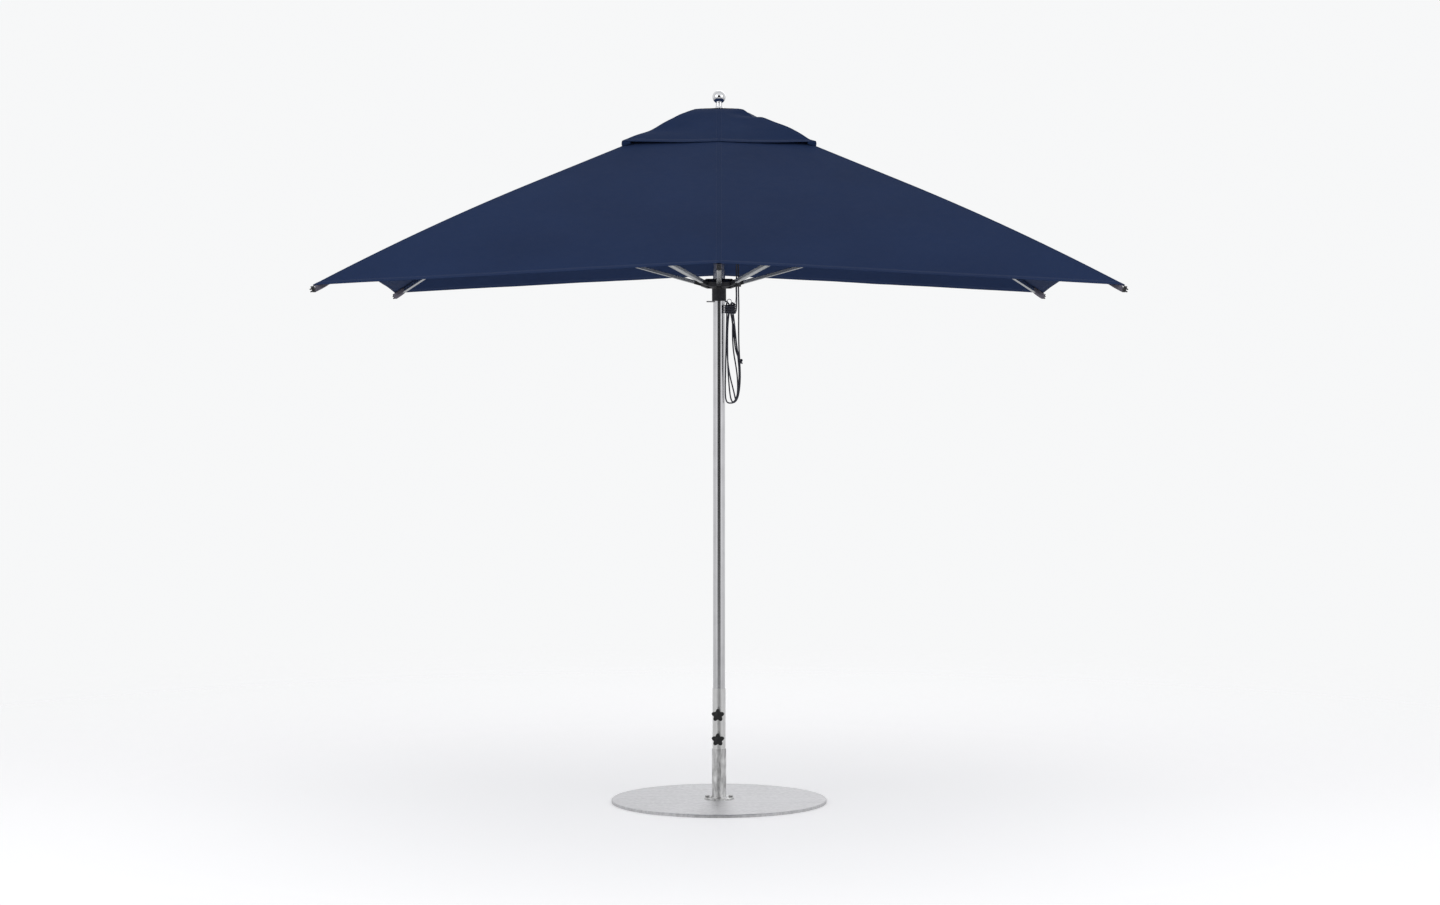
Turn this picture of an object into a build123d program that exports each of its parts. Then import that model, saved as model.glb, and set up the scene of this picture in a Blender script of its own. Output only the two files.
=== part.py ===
"""Square market umbrella, 3.05 m (10 ft) across, on a round steel plate base.

Millimetres, +Z up, origin at the middle of the underside of the base plate. The umbrella stands
open. Each rib, strut and fabric panel is drawn in the radial plane y = 0 and turned to its place.
"""
from build123d import *
import os
from math import asin, atan2, cos, degrees, hypot, pi, radians, sin, tan

# ---- driving dimensions -------------------------------------------------------------------
# Base plate and stem
PLATE_R, PLATE_T, PLATE_EDGE = 457.2, 12.7, 2.5
FOOT_FLANGE_R, FOOT_FLANGE_T, FOOT_BOLT_PCD = 63.5, 6.0, 100.0
SOCKET_R, SOCKET_BORE_R, SOCKET_TOP = 30.15, 27.7, 227.0
SLEEVE_R, SLEEVE_BORE_R, SLEEVE_TOP = 27.5, 25.8, 484.0
KNOB_HEIGHTS = (271.0, 375.0)
KNOB_AZIMUTH = -95.0  # the clamp knobs face forward, a little to the left
KNOB_R, KNOB_VALLEY_R, KNOB_LOBES, KNOB_T = 27.5, 18.5, 5, 19.0

# Pole
POLE_R, POLE_WALL = 25.4, 2.0
POLE_FOOT, POLE_TOP = PLATE_T, 2919.0

# Canopy: ridges of the fabric run to the corners and to the middles of the sides
HALF = 1524.0
CORNER_Z, SIDE_Z = 2175.0, 2257.0
VENT_HOLE_HALF, CAP_HALF, CAP_TOP_HALF, CAP_TOP_Z, CAP_SLOPE = 300.0, 398.0, 99.5, 2933.0, 0.520
FABRIC_T, SEAM_GAP = 1.3, 0.3
BENT_STRIPS = 4  # flat strips of fabric over the bent part of a gore

# Linkage
HUB_PIVOT_R, HUB_PIVOT_Z = 60.0, 2908.0
RIB_BELOW_RIDGE = 16.5  # from the ridge of the fabric down to the middle of the rib
# The taut canopy bends each rib down beyond its strut. The inner part stays straight
CORNER_RIB_LIFT, SIDE_RIB_LIFT = radians(1.19), radians(0.5)  # above the line from pivot to tip
CORNER_BEND_START, SIDE_BEND_START = 0.47, 0.67  # shares of that line where the bend starts
RIB_W, RIB_H, RIB_WALL = 16.0, 22.0, 1.6
STRUT_W, STRUT_H, STRUT_WALL = 20.0, 16.0, 1.5
RIB_START, TIP_CAP_T = 30.0, 4.0  # the rib tube starts this far from its pivot; its end cap's thickness
FOOT_LENGTH, TONGUE_LENGTH = 36.0, 30.0  # resin ends of a strut, from their pivots to the tube
BRACKET_DROP = 20.0  # from the middle of the rib to the strut's upper pin
RUNNER_PIVOT_R, RUNNER_PIVOT_Z, RUNNER_TRAVEL = 69.0, 2196.0, 1330.0
CLOSED_ANGLE = radians(87.5)  # rib below the horizontal when the umbrella is closed
CORNER_AZIMUTHS, SIDE_AZIMUTHS = (45, 135, 225, 315), (0, 90, 180, 270)

# Runner, lock pin and rope
RUNNER_R, COLLAR_R, COLLAR_FOOT, RUNNER_TOP = 77.0, 30.0, 2126.5, 2220.0
PIN_AZIMUTH, PIN_Z, PIN_R, PIN_REACH = 22.5, 2123.3, 3.0, 57.0
PIN_HEAD = 36.0  # radius at which the pull ring's eye starts
CHAIN_D = 3.2
CHAIN_ROUTE = ((70, 17, 2186), (72, 18, 2150), (69.5, 19.4, 2122),
               (63, 20.6, 2107), (55.5, 21.6, 2104), (51.2, 21.3, 2112.6))
ROPE_AZIMUTH, ROPE_R_AT, ROPE_D, SHEAVE_R, SHEAVE_Z = -22.5, 84.0, 6.0, 11.0, 2896.0
LUG_TOP, LUG_FOOT = 2204.0, 2186.0
# The hank is a flat bundle between these two uprights, seen from above
HANK_LEFT, HANK_RIGHT, HANK_T = (21.0, -28.0), (93.0, -18.0), 12.0
HANK_TOP, HANK_SHOULDER, HANK_FOOT = 2118.0, 2066.0, 1695.0
# The rest of the way under the runner, down to the shoulder of the hank, for each part of the rope
DROP_ROUTES = (
    ((73.2, -33.0, 2115), (72.0, -21.2, HANK_SHOULDER)),
    ((83.4, -21.6, 2110), (83.0, -19.6, HANK_SHOULDER)),
)

# Finial
BALL_R, BALL_Z = 28.0, 2985.0


# ---- helpers ------------------------------------------------------------------------------
def save(name, *solids):
    """Writes one named node."""
    shape = solids[0] if len(solids) == 1 else Compound(children=list(solids))
    shape.label = name
    export_step(shape, f"parts/{name}.step")


def column(radius, low, high):
    """A solid cylinder on the pole's axis."""
    return Pos(0, 0, low) * Cylinder(radius, high - low, align=(Align.CENTER, Align.CENTER, Align.MIN))


def pipe(outer, inner, low, high):
    """A tube on the pole's axis."""
    return column(outer, low, high) - column(inner, low - 1, high + 1)


def across(radius, length, x, z):
    """A round bar along Y, centred at (x, 0, z)."""
    return Pos(x, 0, z) * Rot(90, 0, 0) * Cylinder(radius, length)


def block(x0, x1, half_width, z0, z1):
    """A box that is symmetric about the radial plane."""
    return Pos((x0 + x1) / 2, 0, (z0 + z1) / 2) * Box(x1 - x0, 2 * half_width, z1 - z0)


def at(azimuth, shape):
    """Turns a shape from the radial plane y = 0 to its azimuth."""
    return Rot(0, 0, azimuth) * shape


def placed(frame, azimuth, *shapes):
    """Shapes drawn along +X from a pivot, put on that pivot and turned to their azimuth."""
    return [at(azimuth, frame * shape) for shape in shapes]


# ---- linkage geometry ---------------------------------------------------------------------
class Linkage:
    """The rest pose and the lengths of one rib and its strut, in the radial plane."""

    def __init__(self, ridge_r, ridge_z, lift, bend_start):
        tip_z = ridge_z - RIB_BELOW_RIDGE
        chord = hypot(HUB_PIVOT_Z - tip_z, ridge_r - HUB_PIVOT_R)
        self.angle = atan2(HUB_PIVOT_Z - tip_z, ridge_r - HUB_PIVOT_R) - lift
        # The tip in the frame of the straight inner part, and the arc that bends down to it
        self.tip_x, self.tip_drop = chord * cos(lift), chord * sin(lift)
        self.bend_x = bend_start * chord
        span = self.tip_x - self.bend_x
        self.bend_r = (span**2 + self.tip_drop**2) / (2 * self.tip_drop)
        self.bend_turn = asin(span / self.bend_r)
        # The upper pin's place along the rib makes one strut length serve both open and closed
        terms = []
        for angle, lowered in ((self.angle, 0.0), (CLOSED_ANGLE, RUNNER_TRAVEL)):
            along = Vector(cos(angle), -sin(angle))
            below = Vector(-sin(angle), -cos(angle))
            base = Vector(HUB_PIVOT_R - RUNNER_PIVOT_R, HUB_PIVOT_Z - RUNNER_PIVOT_Z + lowered)
            base += below * BRACKET_DROP
            terms.append((base, along, base.dot(base), along.dot(base)))
        opened, closed = terms
        self.bracket_at = (closed[2] - opened[2]) / (2 * (opened[3] - closed[3]))
        reach = opened[0] + opened[1] * self.bracket_at
        self.strut_length = reach.length
        self.strut_angle = atan2(reach.Y, reach.X)
        reach_closed = closed[0] + closed[1] * self.bracket_at
        self.strut_closed = atan2(reach_closed.Y, reach_closed.X)
        self.pin = (RUNNER_PIVOT_R + reach.X, RUNNER_PIVOT_Z + reach.Y)
        self.rib_frame = Pos(HUB_PIVOT_R, 0, HUB_PIVOT_Z) * Rot(0, degrees(self.angle), 0)
        self.strut_frame = Pos(RUNNER_PIVOT_R, 0, RUNNER_PIVOT_Z) * Rot(0, -degrees(self.strut_angle), 0)

    def ridge(self, r):
        """Height of the fabric's ridge over the rib at this distance from the pole."""
        slope = tan(self.angle)
        start_r = HUB_PIVOT_R + self.bend_x * cos(self.angle)
        if r <= start_r:
            return HUB_PIVOT_Z + RIB_BELOW_RIDGE - (r - HUB_PIVOT_R) * slope
        centre_r = start_r - self.bend_r * sin(self.angle)
        centre_z = HUB_PIVOT_Z - self.bend_x * sin(self.angle) - self.bend_r * cos(self.angle)
        return centre_z + (self.bend_r**2 - (r - centre_r)**2) ** 0.5 + RIB_BELOW_RIDGE

    @property
    def rib_turn(self):
        """How far the rib turns down from open to closed, in degrees."""
        return degrees(CLOSED_ANGLE - self.angle)

    @property
    def strut_turn(self):
        """How far the strut turns against its rib from open to closed, in degrees."""
        return self.rib_turn + degrees(self.strut_closed - self.strut_angle)


CORNER = Linkage(HALF * 2**0.5, CORNER_Z, CORNER_RIB_LIFT, CORNER_BEND_START)
SIDE = Linkage(HALF, SIDE_Z, SIDE_RIB_LIFT, SIDE_BEND_START)


# ---- base ---------------------------------------------------------------------------------
def base_plate():
    plate = chamfer(column(PLATE_R, 0, PLATE_T).edges().group_by(Axis.Z)[-1], PLATE_EDGE)
    for x, y in bolt_places():
        plate -= Pos(x, y, 0) * column(5.2, -1, PLATE_T + 1)
    return plate


def bolt_places():
    radius = FOOT_BOLT_PCD / 2
    return [(radius * cos(radians(a)), radius * sin(radians(a))) for a in SIDE_AZIMUTHS]


def stem_flange():
    flange = pipe(FOOT_FLANGE_R, SOCKET_R + 0.1, PLATE_T, PLATE_T + FOOT_FLANGE_T)
    for x, y in bolt_places():
        flange -= Pos(x, y, 0) * column(5.3, PLATE_T - 1, PLATE_T + FOOT_FLANGE_T + 1)
    return flange


def flange_bolts():
    head_z = PLATE_T + FOOT_FLANGE_T
    bolts = []
    for x, y in bolt_places():
        head = Pos(x, y, head_z + 1.5) * extrude(RegularPolygon(9.2, 6), 6.5)
        washer = Pos(x, y, 0) * column(10.5, head_z, head_z + 1.5)
        bolts.append(head + washer + Pos(x, y, 0) * column(5.0, 1.0, head_z + 1))
    return bolts


def knob_frame(height):
    """Local +X points out of the stem along a knob's screw."""
    return Pos(0, 0, height) * Rot(0, 0, KNOB_AZIMUTH)


def along_x(radius, x0, x1):
    return Pos((x0 + x1) / 2, 0, 0) * Rot(0, 90, 0) * Cylinder(radius, x1 - x0)


def stem_sleeve():
    sleeve = pipe(SLEEVE_R, SLEEVE_BORE_R, PLATE_T, SLEEVE_TOP)
    for height in KNOB_HEIGHTS:
        sleeve -= knob_frame(height) * along_x(5.3, 15, 40)
    return sleeve


def knob_nuts():
    nuts = []
    for height in KNOB_HEIGHTS:
        nut = Pos(SLEEVE_R - 3, 0, 0) * Rot(0, 90, 0) * extrude(RegularPolygon(10.5, 6), 14)
        nut -= along_x(5.2, 0, 60)
        nut = knob_frame(height) * nut - column(SLEEVE_R + 0.02, height - 20, height + 20)
        nuts.append(nut.solids()[0])
    return nuts


def star_knob(height):
    """A five-lobed grip with its threaded stud."""
    start = SLEEVE_R + 14.5
    rim = []
    for step in range(2 * KNOB_LOBES):
        angle = radians(180 + step * 180 / KNOB_LOBES)
        radius = KNOB_R if step % 2 == 0 else KNOB_VALLEY_R
        rim.append((radius * cos(angle), radius * sin(angle)))
    outline = make_face(Spline(*rim, periodic=True))
    grip = extrude(outline, KNOB_T)
    boss = Pos(0, 0, -3) * extrude(Circle(11), 4)
    grip += boss
    # Drawn on XY with a lobe towards -X, which is upward once the grip faces along +X
    grip = Pos(start + 3, 0, 0) * Rot(0, 90, 0) * grip
    grip -= along_x(5.0, start - 1, start + 14)
    stud = along_x(4.9, POLE_R + 0.3, start + 13.5)
    return [knob_frame(height) * grip, knob_frame(height) * stud]


# ---- mast ---------------------------------------------------------------------------------
def pole():
    tube = pipe(POLE_R, POLE_R - POLE_WALL, POLE_FOOT + 6, POLE_TOP)
    return tube - at(PIN_AZIMUTH, Pos(0, 0, PIN_Z) * along_x(PIN_R + 0.4, -40, 40))


def pole_foot_plug():
    disc = column(POLE_R, POLE_FOOT, POLE_FOOT + 6)
    spigot = column(POLE_R - POLE_WALL - 0.1, POLE_FOOT, POLE_FOOT + 30)
    return disc + spigot


def rope_lug(inner, outer, half_width, low, high):
    return at(ROPE_AZIMUTH, block(inner, outer, half_width, low, high))


def top_hub():
    hub = column(72, 2884, 2926) + column(31, 2850, 2885)
    hub += rope_lug(60, 96, 15.5, SHEAVE_Z - 10, SHEAVE_Z + 22)
    hub -= column(POLE_R + 0.1, 2840, POLE_TOP + 0.2)
    hub -= column(6.2, 2900, 2930)
    for azimuth in CORNER_AZIMUTHS + SIDE_AZIMUTHS:
        hub -= at(azimuth, block(47, 80, 7.5, 2880, 2930))
        hub -= at(azimuth, across(2.52, 36, HUB_PIVOT_R, HUB_PIVOT_Z))
    # The sheave turns in a slot across the rope lug
    hub -= rope_lug(ROPE_R_AT - 5, ROPE_R_AT + 5, 20, SHEAVE_Z - 20, SHEAVE_Z + 15.5)
    hub -= at(ROPE_AZIMUTH, Pos(0, 0, SHEAVE_Z) * along_x(2.52, ROPE_R_AT - 11, ROPE_R_AT + 20))
    return hub


def rib_hinge_pins():
    pins = []
    for azimuth in sorted(CORNER_AZIMUTHS + SIDE_AZIMUTHS):
        pins.append(at(azimuth, across(2.5, 35, HUB_PIVOT_R, HUB_PIVOT_Z)))
    return pins


def hub_pulley():
    """A grooved sheave whose axle points outward from the pole."""
    groove_r = ROPE_D / 2 + 0.1
    sheave = Cylinder(SHEAVE_R + 2.5, 9) - Torus(SHEAVE_R, groove_r)
    sheave -= Cylinder(SHEAVE_R + 5, 2 * groove_r) - Cylinder(SHEAVE_R, 4 * groove_r)
    sheave = Rot(0, 90, 0) * sheave
    sheave -= along_x(2.58, -6, 6)
    return at(ROPE_AZIMUTH, Pos(ROPE_R_AT, 0, SHEAVE_Z) * sheave)


def pulley_axle():
    return at(ROPE_AZIMUTH, Pos(0, 0, SHEAVE_Z) * along_x(2.5, ROPE_R_AT - 10.5, ROPE_R_AT + 12))


def hub_cap():
    disc = pipe(56, 6.2, 2926, CAP_TOP_Z - FABRIC_T)
    top_rim = disc.faces().sort_by(Axis.Z)[-1].edges().sort_by(SortBy.RADIUS)[-1]
    return chamfer(top_rim, 1.0)


def finial():
    """A ball on a flared neck, turned in one piece."""
    foot_z = CAP_TOP_Z
    neck = 13.5
    join_z = BALL_Z - (BALL_R**2 - neck**2) ** 0.5
    with BuildSketch(Plane.XZ) as outline:
        with BuildLine():
            Line((0, foot_z), (27, foot_z))
            Line((27, foot_z), (27, foot_z + 2))
            Spline((27, foot_z + 2), (17, foot_z + 8), (neck, join_z), tangents=((-1, 0.1), (0, 1)))
            Line((neck, join_z), (0, join_z))
            Line((0, join_z), (0, foot_z))
        make_face()
    turned = revolve(outline.sketch, Axis.Z) + Pos(0, 0, BALL_Z) * Sphere(BALL_R)
    return turned - column(6.05, foot_z - 1, foot_z + 20)


def finial_stud():
    nut = Pos(0, 0, 2906) * extrude(RegularPolygon(10.5, 6), 10)
    return nut + column(6.0, 2903, CAP_TOP_Z + 19)


# ---- ribs, struts and their fittings ------------------------------------------------------
def bar_section(width, height, wall, start):
    """The section of a hollow extrusion with rounded edges, across +X."""
    hollow = RectangleRounded(width - 2 * wall, height - 2 * wall, 1.4)
    profile = RectangleRounded(width, height, 3.0) - hollow
    return Pos(start, 0, 0) * Rot(0, 90, 0) * Rot(0, 0, 90) * profile


def eye(radius, half_width, length, hole):
    """A tongue along +X whose round end is on the pivot."""
    tongue = across(radius, 2 * half_width, 0, 0) + block(0, length, half_width, -radius, radius)
    return tongue - across(hole, 4 * half_width, 0, 0)


def rib(link):
    """Straight from the hub to about the strut, then bent down to its tip in one arc."""
    section = bar_section(RIB_W, RIB_H, RIB_WALL, RIB_START)
    turn = link.bend_turn - TIP_CAP_T / link.bend_r
    middle, tip = [
        (link.bend_x + link.bend_r * sin(part), -link.bend_r * (1 - cos(part)))
        for part in (turn / 2, turn)
    ]
    with BuildLine(Plane.XZ) as route:
        Line((RIB_START, 0), (link.bend_x, 0))
        ThreePointArc((link.bend_x, 0), middle, tip)
    return sweep(section, path=route.wires()[0])


def rib_fittings(link):
    """The hub eye, the strut bracket with its pin and the tip cap."""
    inside_w, inside_h = RIB_W / 2 - RIB_WALL - 0.7, RIB_H / 2 - RIB_WALL - 0.7
    hub_eye = eye(9.5, 7.0, RIB_START, 2.58) + block(RIB_START - 1, 55, inside_w, -inside_h, inside_h)
    where = link.bracket_at
    half_h = RIB_H / 2
    bracket = block(where - 20, where + 20, 10.6, -BRACKET_DROP - 8.5, 3)
    bracket -= block(where - 30, where + 30, RIB_W / 2 + 0.05, -half_h - 0.02, 5)
    bracket -= block(where - 30, where + 30, 6.0, -BRACKET_DROP - 12, -half_h - 1.5)
    bracket -= across(3.02, 30, where, -BRACKET_DROP)
    pin = across(3.0, 21, where, -BRACKET_DROP)
    cap = block(-TIP_CAP_T, 0, RIB_W / 2 + 0.8, -half_h - 0.8, half_h + 0.8)
    cap += block(-24, 1 - TIP_CAP_T, inside_w, -inside_h, inside_h)
    for height in (5.0, -4.6):
        cap += Pos(0, 0, height) * along_x(2.6, -1, 13)
    cap = Pos(link.tip_x, 0, -link.tip_drop) * Rot(0, degrees(link.bend_turn), 0) * cap
    return hub_eye, bracket, pin, cap


def strut(link):
    """The tube with its foot, its foot pin and its upper tongue."""
    length = link.strut_length
    inside_w, inside_h = STRUT_W / 2 - STRUT_WALL - 0.7, STRUT_H / 2 - STRUT_WALL - 0.7
    section = bar_section(STRUT_W, STRUT_H, STRUT_WALL, FOOT_LENGTH)
    tube = extrude(section, length - FOOT_LENGTH - TONGUE_LENGTH, dir=(1, 0, 0))
    foot = eye(STRUT_H / 2, STRUT_W / 2, FOOT_LENGTH, 3.0)
    foot += block(FOOT_LENGTH - 1, 60, inside_w, -inside_h, inside_h)
    pin = across(3.0, STRUT_W, 0, 0)
    tongue = eye(7.0, 5.7, TONGUE_LENGTH, 3.08) + block(TONGUE_LENGTH - 1, 50, 5.7, -inside_h, inside_h)
    return tube, foot, pin, Pos(length, 0, 0) * Rot(0, 180, 0) * tongue


# ---- canopy -------------------------------------------------------------------------------
def strip(corners):
    """A thin sheet over four corners, given in order round it, as two flat triangles back to back."""
    halves = [[corners[i] for i in picked] for picked in ((0, 1, 2), (0, 2, 3))]
    wedges = [extrude(make_face(Polyline(*half, close=True)), FABRIC_T, dir=(0, 0, -1)) for half in halves]
    return wedges[0] + wedges[1]


def panel(stations, low_share, high_share, height):
    """A half gore around +X, between two rays y = share * x, made of a strip between each two stations."""
    rows = []
    for x in stations:
        pair = []
        for share, gap in ((low_share, SEAM_GAP), (high_share, -SEAM_GAP)):
            y = share * x + gap
            pair.append((x, y, height(x, y)))
        rows.append(pair)
    sheet = None
    for (low, high), (next_low, next_high) in zip(rows, rows[1:]):
        piece = strip([low, next_low, next_high, high])
        sheet = piece if sheet is None else sheet + piece
    return sheet


def roof(x, y):
    """Height of the main canopy in the gore pair around +X: taut between its side and corner ridges."""
    share = y / x
    return (1 - share) * SIDE.ridge(x) + share * CORNER.ridge(x * 2**0.5)


def cap_roof(x, y):
    """Height of the vent cap in the gore pair around +X."""
    return CAP_TOP_Z - CAP_SLOPE * (x - CAP_TOP_HALF)


def canopy_panel(low_share, high_share):
    """The half gore of the main canopy and of the vent cap beside one ridge, on its left."""
    bend = (HUB_PIVOT_R + CORNER.bend_x * cos(CORNER.angle)) / 2**0.5
    stations = [VENT_HOLE_HALF] + [bend + (HALF - bend) * i / BENT_STRIPS for i in range(BENT_STRIPS + 1)]
    main = panel(stations, low_share, high_share, roof)
    cap = panel((CAP_TOP_HALF + SEAM_GAP, CAP_HALF), low_share, high_share, cap_roof)
    return [main, cap]


def canopy_panels(azimuth):
    """The fabric on both sides of the ridge at this azimuth."""
    if azimuth % 90 == 0:
        left = canopy_panel(0.0, 0.5)
        right = [mirror(piece, Plane.XZ) for piece in left]
        return [at(azimuth, piece) for piece in left + right]
    below = canopy_panel(0.5, 1.0)
    beyond = [mirror(piece, Plane.XZ) for piece in below]
    return [at(azimuth - 45, piece) for piece in below] + [at(azimuth + 45, piece) for piece in beyond]


def vent_cap_top():
    top = Pos(0, 0, CAP_TOP_Z - FABRIC_T / 2) * Box(2 * CAP_TOP_HALF, 2 * CAP_TOP_HALF, FABRIC_T)
    return top - column(6.6, CAP_TOP_Z - 5, CAP_TOP_Z + 5)


# ---- runner, lock pin and rope ------------------------------------------------------------
def runner_hub():
    with BuildSketch(Plane.XZ) as outline:
        Polygon((27.6, COLLAR_FOOT), (COLLAR_R, COLLAR_FOOT), (COLLAR_R, 2178.6), (52, 2178.6),
                (RUNNER_R, 2188), (RUNNER_R, 2206), (56, RUNNER_TOP), (27.6, RUNNER_TOP), align=None)
    hub = revolve(outline.sketch, Axis.Z)
    hub += rope_lug(60, 94, 15.0, LUG_FOOT, LUG_TOP)
    for azimuth in CORNER_AZIMUTHS + SIDE_AZIMUTHS:
        hub -= at(azimuth, block(50, 90, STRUT_W / 2 + 0.7, 2170, 2230))
    for x, y in rope_places():
        hub -= Pos(x, y, 0) * column(ROPE_D / 2 + 0.4, LUG_FOOT - 5, LUG_TOP + 5)
    hub -= Pos(*CHAIN_ROUTE[0][:2], 0) * column(2.0, 2180, 2196)
    return hub


def rope_places():
    """Where the two parts of the rope run, seen from above."""
    turn = radians(ROPE_AZIMUTH)
    return [(ROPE_R_AT * cos(turn) - side * sin(turn), ROPE_R_AT * sin(turn) + side * cos(turn))
            for side in (-SHEAVE_R, SHEAVE_R)]


def lock_pin():
    """The pin through the pole, with the pull ring in its head."""
    pin = along_x(PIN_R, -PIN_REACH, PIN_HEAD) + Pos(PIN_HEAD, 0, 0) * Sphere(4.5)
    ring = Pos(PIN_HEAD + 10.5, 0, 0) * Rot(90, 0, 0) * Torus(10.5, 1.5)
    pin -= Pos(PIN_HEAD, 0, 0) * Cylinder(1.7, 20)
    frame = Pos(0, 0, PIN_Z)
    return [at(PIN_AZIMUTH, frame * shape) for shape in (pin, ring)]


def rounded_route(points, share=0.45):
    """Straight runs joined by tangent arcs as large as the runs allow."""
    vectors = [Vector(*point) for point in points]
    radii = []
    for before, here, after in zip(vectors, vectors[1:], vectors[2:]):
        turn = radians((here - before).get_angle(after - here))
        shorter = min((here - before).length, (after - here).length)
        radii.append(share * shorter * cos(turn / 2) / sin(turn / 2))
    return FilletPolyline(*vectors, radius=radii), radii


def cord_tube(points, diameter):
    """A cord's solid along its route, with its corner radii printed."""
    route, radii = rounded_route(points)
    print("route length", round(route.length), "corner radii", [round(r) for r in radii])
    section = Plane(origin=route @ 0, z_dir=route % 0) * Circle(diameter / 2)
    tube = sweep(section, path=route)
    print("volume", round(tube.volume), "of", round(route.length * pi * diameter**2 / 4))
    return tube


def rope_fall():
    """The two parts of the rope between the runner and the sheave, and the turn over it."""
    with BuildLine(Plane.XZ) as route:
        Line((-SHEAVE_R, LUG_TOP), (-SHEAVE_R, SHEAVE_Z))
        ThreePointArc((-SHEAVE_R, SHEAVE_Z), (0, SHEAVE_Z + SHEAVE_R), (SHEAVE_R, SHEAVE_Z))
        Line((SHEAVE_R, SHEAVE_Z), (SHEAVE_R, LUG_TOP))
    section = Pos(-SHEAVE_R, 0, LUG_TOP) * Circle(ROPE_D / 2)
    rope = sweep(section, path=route.wires()[0])
    return at(ROPE_AZIMUTH, Pos(ROPE_R_AT, 0, 0) * Rot(0, 0, 90) * rope)


def rope_drop():
    tubes = []
    for (x, y), rest in zip(rope_places(), DROP_ROUTES):
        tubes.append(cord_tube(((x, y, LUG_TOP), (x, y, LUG_FOOT - 22), *rest), ROPE_D))
    return tubes


def rope_hank():
    """One closed solid of the outer shape of the tied hank."""
    across_x, across_y = HANK_RIGHT[0] - HANK_LEFT[0], HANK_RIGHT[1] - HANK_LEFT[1]
    width = hypot(across_x, across_y)
    outline = ((8, HANK_TOP), (42, HANK_TOP), (48, HANK_SHOULDER), (67, HANK_SHOULDER), (66, 1960), (width, 1880),
               (width, 1780), (58, 1705), (40, HANK_FOOT), (6, HANK_FOOT), (0, 1712), (4, 1900), (4, 2080))
    face = make_face(Polyline(*[(x, z) for x, z in outline], close=True))
    flat = Rot(90, 0, 0) * extrude(face, HANK_T / 2, both=True)
    return Pos(*HANK_LEFT, 0) * Rot(0, 0, degrees(atan2(across_y, across_x))) * flat


# ---- writing the nodes --------------------------------------------------------------------
os.makedirs("parts", exist_ok=True)

save("base_plate", base_plate())
save("stem_flange", stem_flange())
save("flange_bolts", *flange_bolts())
save("stem_socket_tube", pipe(SOCKET_R, SOCKET_BORE_R, PLATE_T, SOCKET_TOP))
save("stem_sleeve", stem_sleeve())
save("knob_nuts", *knob_nuts())
save("star_knob_lower", *star_knob(KNOB_HEIGHTS[0]))
save("star_knob_upper", *star_knob(KNOB_HEIGHTS[1]))

save("pole", pole())
save("pole_foot_plug", pole_foot_plug())
save("top_hub", top_hub())
save("rib_hinge_pins", *rib_hinge_pins())
save("hub_cap", hub_cap())
save("vent_cap_top", vent_cap_top())
save("finial", finial())
save("finial_stud", finial_stud())
save("pulley_axle", pulley_axle())
save("hub_pulley", hub_pulley())

for number, azimuth in enumerate(sorted(CORNER_AZIMUTHS + SIDE_AZIMUTHS), start=1):
    link = SIDE if azimuth in SIDE_AZIMUTHS else CORNER
    save(f"rib_{number}", *placed(link.rib_frame, azimuth, rib(link)))
    save(f"rib_fittings_{number}", *placed(link.rib_frame, azimuth, *rib_fittings(link)))
    save(f"strut_{number}", *placed(link.strut_frame, azimuth, *strut(link)))
    save(f"canopy_panel_{number}", *canopy_panels(azimuth))

save("runner_hub", runner_hub())
save("runner_bushing", pipe(27.5, POLE_R + 0.4, COLLAR_FOOT, RUNNER_TOP))
save("lock_pin", *lock_pin())
save("lock_pin_chain", cord_tube(CHAIN_ROUTE, CHAIN_D))
save("rope_fall", rope_fall())
save("rope_drop", *rope_drop())
save("rope_hank", rope_hank())

for name, link in (("corner", CORNER), ("side", SIDE)):
    print(name, "rib slope", degrees(link.angle), "bracket at", link.bracket_at, "upper pin", link.pin)
    print(name, "strut", link.strut_length, "slope", degrees(link.strut_angle))
    print(name, "rib turn", link.rib_turn, "strut turn", link.strut_turn, "bend radius", link.bend_r)
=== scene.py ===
"""Looks of the square market umbrella: navy canopy with a vent cap, brushed pole and round plate base.

Metres, +Z up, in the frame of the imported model. Each gore, seam, pocket and tab is drawn in the
gore pair around +X and turned to its place.
"""
from math import asin, atan2, cos, exp, hypot, pi, radians, sin, tan

import bmesh
import bpy
from mathutils import Matrix, Vector, noise


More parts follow.
